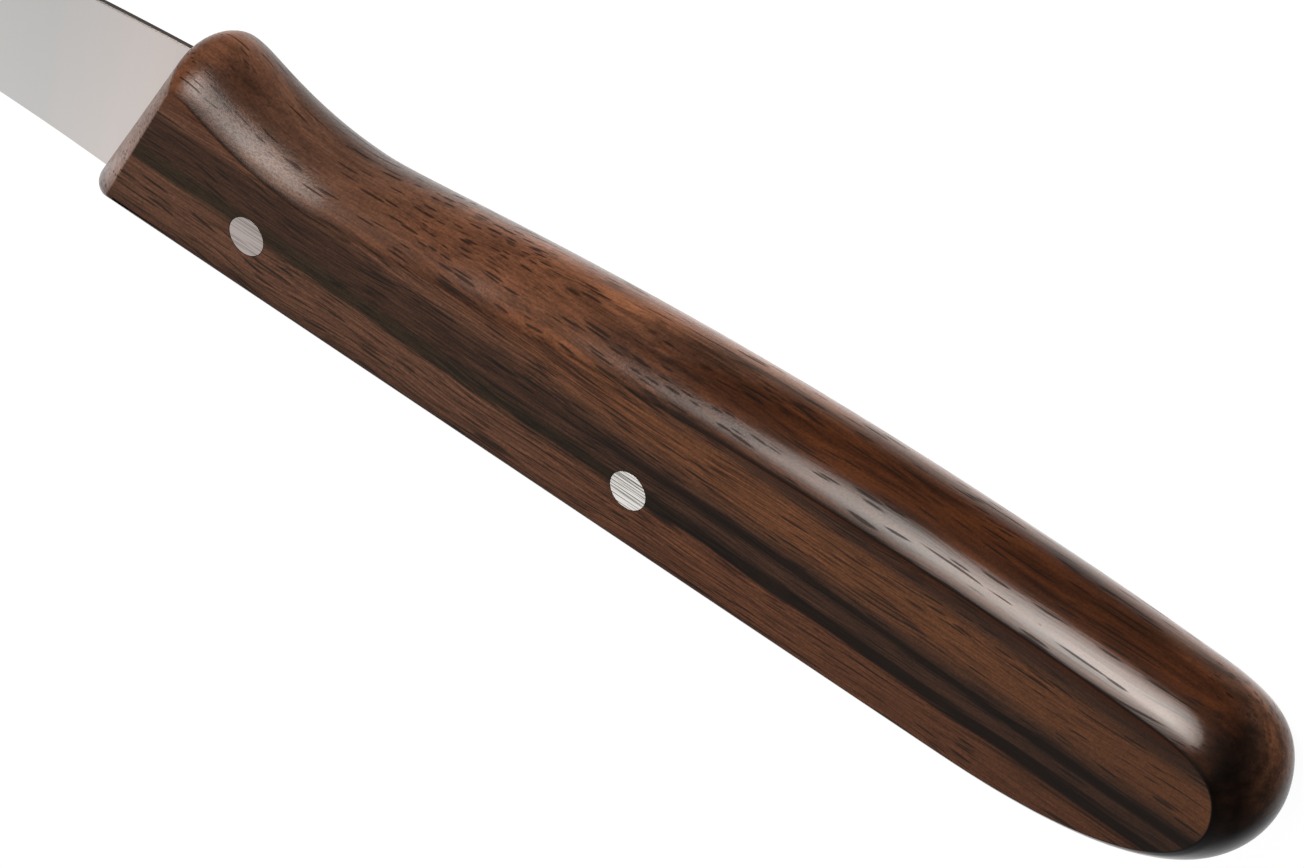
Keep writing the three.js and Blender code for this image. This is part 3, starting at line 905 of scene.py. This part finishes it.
def ground_aluminium(colours, origin):
    """Aluminium pins sanded flush: pale grey with dark scratches along the handle, the front pin darker."""
    material, tree = new_material("ground_aluminium")
    _, place = knife_places(tree, origin)
    x = add(tree, "SeparateXYZ", [place]).outputs[0]
    scratch_size = (8.0, 0.1, 3.0)
    spread = add(tree, "VectorMath", [place, per_step(scratch_size)], operation="MULTIPLY")
    lines = add(tree, "TexNoise", {"Vector": spread, "Scale": 1.0, "Detail": 3.0})
    scratch = add(tree, "MapRange", {"Value": lines, "From Min": 0.5, "From Max": 0.6})
    rear_share = add(tree, "MapRange", {"Value": x, "From Min": 20.0, "From Max": 45.0})
    depth = add(tree, "MapRange", {"Value": rear_share, "To Min": 0.6, "To Max": 0.9})
    scratch = add(tree, "Math", [scratch, depth], operation="MULTIPLY")
    darker_metal = (*colours.darker_aluminium, 1.0)
    bright = (*colours.aluminium, 1.0)
    metal = add(tree, "Mix", {0: rear_share, 6: darker_metal, 7: bright}, data_type="RGBA")
    grime = (*colours.scratch, 1.0)
    looks = {
        "Base Color": add(tree, "Mix", {0: scratch, 6: metal, 7: grime}, data_type="RGBA"),
        "Metallic": 1.0,
        "Roughness": 0.4,
        "Normal": add(tree, "Bump", {"Strength": 0.4, "Distance": 0.02 * MM, "Height": lines}),
    }
    return give_looks(material, looks)


def opal_floor(stage):
    """A pale opal table, lit from within so that it stays nearly white with only a faint shadow."""
    material, _ = new_material("opal_table")
    looks = {
        "Base Color": (*stage.table, 1.0),
        "Roughness": 0.9,
        "Specular IOR Level": 0.0,
        "Emission Color": (*stage.glow, 1.0),
        "Emission Strength": 0.95,
    }
    return give_looks(material, looks)


class KNIFE_OT_handle(bpy.types.Operator):
    """Build the wooden handle with its slot and pin holes"""

    bl_idname = "knife.handle"
    bl_label = "Handle"

    def execute(self, context):
        sizes = context.scene.knife_handle
        steel = context.scene.knife_steel
        origin = knife_origin(steel)
        bm = bmesh.new()
        sweep(bm, handle_rings(sizes))
        flats = [f for f in bm.faces if len(f.verts) > 4]
        bmesh.ops.inset_region(bm, faces=flats, thickness=FLAT_BORDER, use_even_offset=True)
        piece = make_object("wooden_handle", bm, origin)
        bm = bmesh.new()
        slab(bm, slot_outline(sizes, steel), steel.steel_thickness + 2 * steel.slot_clearance)
        carve(piece, make_object("slot_tool", bm, origin))
        drill(piece, steel, origin)
        material = rosewood(context.scene.knife_colours, origin)
        dress(piece, material, "rosewood", SHARP_EDGE, "handle")
        return {"FINISHED"}


class KNIFE_OT_blade(bpy.types.Operator):
    """Build the hooked blade with its half tang"""

    bl_idname = "knife.blade"
    bl_label = "Blade"

    def execute(self, context):
        sizes = context.scene.knife_handle
        steel = context.scene.knife_steel
        origin = knife_origin(steel)
        bm = bmesh.new()
        sweep(bm, blade_rings(sizes, steel))
        piece = make_object("hooked_blade", bm, origin)
        bm = bmesh.new()
        slab(bm, tang_outline(sizes, steel), steel.steel_thickness)
        carve(piece, make_object("tang_tool", bm, origin), "UNION")
        drill(piece, steel, origin)
        material = satin_steel(context.scene.knife_colours, origin)
        dress(piece, material, "satin_steel", GROUND_EDGE, "blade")
        return {"FINISHED"}


class KNIFE_OT_pins(bpy.types.Operator):
    """Build the two pins, ground flush with the flat sides"""

    bl_idname = "knife.pins"
    bl_label = "Pins"

    def execute(self, context):
        steel = context.scene.knife_steel
        origin = knife_origin(steel)
        material = ground_aluminium(context.scene.knife_colours, origin)
        for index, node in enumerate(PIN_NODES):
            bm = bmesh.new()
            centre = at(steel.pin_station + index * PIN_SPACING, steel.pin_height)
            rod(bm, centre, PIN_DIAMETER / 2, 2 * HALF_THICKNESS, segments=96)
            rims = [e for e in bm.edges if e.calc_face_angle(0.0) > RIM_EDGE]
            rounding = {"affect": "EDGES", "segments": 3, "profile": 0.5, "material": -1}
            bmesh.ops.bevel(bm, geom=rims, offset=steel.pin_ease, **rounding)
            piece = make_object(node.replace("rivet", "pin"), bm, origin)
            dress(piece, material, "rivet_metal", SHARP_EDGE, node)
        return {"FINISHED"}


class KNIFE_OT_stage(bpy.types.Operator):
    """Set up the pale floor, the softboxes, the surroundings and the camera"""

    bl_idname = "knife.stage"
    bl_label = "Stage"

    def execute(self, context):
        scene = context.scene
        stage = scene.knife_stage
        aim = at(PIN_MIDDLE.x + stage.aim_behind_pin, PIN_MIDDLE.y + stage.aim_above_pin, PIN_HIGH.z)
        self.add_floor(stage)
        viewer = self.add_camera(scene, stage, aim)
        self.add_softboxes(scene, stage, aim)
        self.add_surroundings(scene, stage, -viewer)
        scene.view_settings.view_transform = "Standard"
        return {"FINISHED"}

    def add_floor(self, stage):
        """The table, which the knife doesn't mirror."""
        bm = bmesh.new()
        bmesh.ops.create_grid(bm, x_segments=1, y_segments=1, size=FLOOR_HALF_SIZE)
        floor = make_object("floor", bm, at(0, 0, HANDLE_LOW.z - FLOOR_DROP))
        floor.data.materials.append(opal_floor(stage))
        floor.visible_glossy = False

    def add_camera(self, scene, stage, aim):
        """The camera. Returns the direction towards the viewer."""
        camera = bpy.data.objects.new("camera", bpy.data.cameras.new("camera"))
        scene.collection.objects.link(camera)
        level = math.cos(stage.elevation)
        viewer = Vector(
            (level * math.cos(stage.azimuth), level * math.sin(stage.azimuth), math.sin(stage.elevation))
        )
        camera.data.lens = stage.lens
        camera.data.clip_start = 0.01
        camera.data.clip_end = 20.0
        camera.rotation_mode = "QUATERNION"
        camera.location = aim + viewer * stage.distance
        upright = (-viewer).to_track_quat("-Z", "Y")
        camera.rotation_quaternion = upright @ Quaternion((0, 0, 1), -stage.roll)
        scene.camera = camera
        return viewer

    def add_softboxes(self, scene, stage, aim):
        """One softbox over the spine, made of nested ones so that its edge fades."""
        whole = sum(growth ** 2 for growth in KEY_GROWTHS)
        for growth in KEY_GROWTHS:
            place = KEY_DIRECTION * (KEY_DISTANCE + KEY_STEP * growth)
            light = bpy.data.lights.new("key_softbox", "AREA")
            light.shape = "ELLIPSE"
            light.size, light.size_y = [side * growth for side in KEY_SIZE]
            light.energy = stage.key_strength * growth ** 2 / whole
            light.color = stage.key_colour
            lamp = bpy.data.objects.new("key_softbox", light)
            scene.collection.objects.link(lamp)
            lamp.rotation_mode = "QUATERNION"
            lamp.location = aim + place
            lamp.rotation_quaternion = (-place).to_track_quat("-Z", "Y")
            lamp.visible_camera = False

    def add_surroundings(self, scene, stage, backdrop):
        """A dim room that is white behind the knife as the viewer sees it, and as the blade mirrors it."""
        world = bpy.data.worlds.new("studio")
        scene.world = world
        world.use_nodes = True
        tree = world.node_tree
        tree.nodes.clear()
        spot = add(tree, "TexCoord")
        x, y, z = add(tree, "SeparateXYZ", [spot.outputs["Generated"]]).outputs
        steep = add(tree, "Math", [z], operation="ABSOLUTE")
        down = add(tree, "Math", [steep, -1.0], operation="MULTIPLY")
        folded = add(tree, "CombineXYZ", [x, y, down])
        facing = add(tree, "VectorMath", [folded, backdrop], operation="DOT_PRODUCT")
        white_cap = {"Value": facing.outputs["Value"], "From Min": 0.33, "From Max": 0.95}
        share = add(tree, "MapRange", white_cap, **SOFT)
        dim = (*stage.room, 1.0)
        white = (*stage.backdrop, 1.0)
        tone = add(tree, "Mix", {0: share, 6: dim, 7: white}, data_type="RGBA")
        light = add(tree, "Background", {"Color": tone})
        add(tree, "OutputWorld", {"Surface": light})


class KNIFE_PT_parts(bpy.types.Panel):
    """Lists the knife's parts in the sidebar"""

    bl_idname = "KNIFE_PT_parts"
    bl_label = "Tourne Knife"
    bl_space_type = "VIEW_3D"
    bl_region_type = "UI"
    bl_category = "Knife"

    def draw(self, context):
        for operator in OPERATORS:
            self.layout.operator(operator.bl_idname)


GROUPS = {
    "knife_handle": KnifeHandleSizes,
    "knife_steel": KnifeSteelSizes,
    "knife_colours": KnifeColours,
    "knife_stage": KnifeStage,
}
OPERATORS = (KNIFE_OT_handle, KNIFE_OT_blade, KNIFE_OT_pins, KNIFE_OT_stage)


def register():
    for group in (*GROUPS.values(), *OPERATORS, KNIFE_PT_parts):
        bpy.utils.register_class(group)
    for name, group in GROUPS.items():
        setattr(bpy.types.Scene, name, bpy.props.PointerProperty(type=group))


def unregister():
    for name in GROUPS:
        delattr(bpy.types.Scene, name)
    for group in (KNIFE_PT_parts, *OPERATORS, *GROUPS.values()):
        bpy.utils.unregister_class(group)


def main():
    register()
    bpy.ops.knife.handle()
    bpy.ops.knife.blade()
    bpy.ops.knife.pins()
    bpy.ops.knife.stage()


if __name__ == "__main__":
    main()
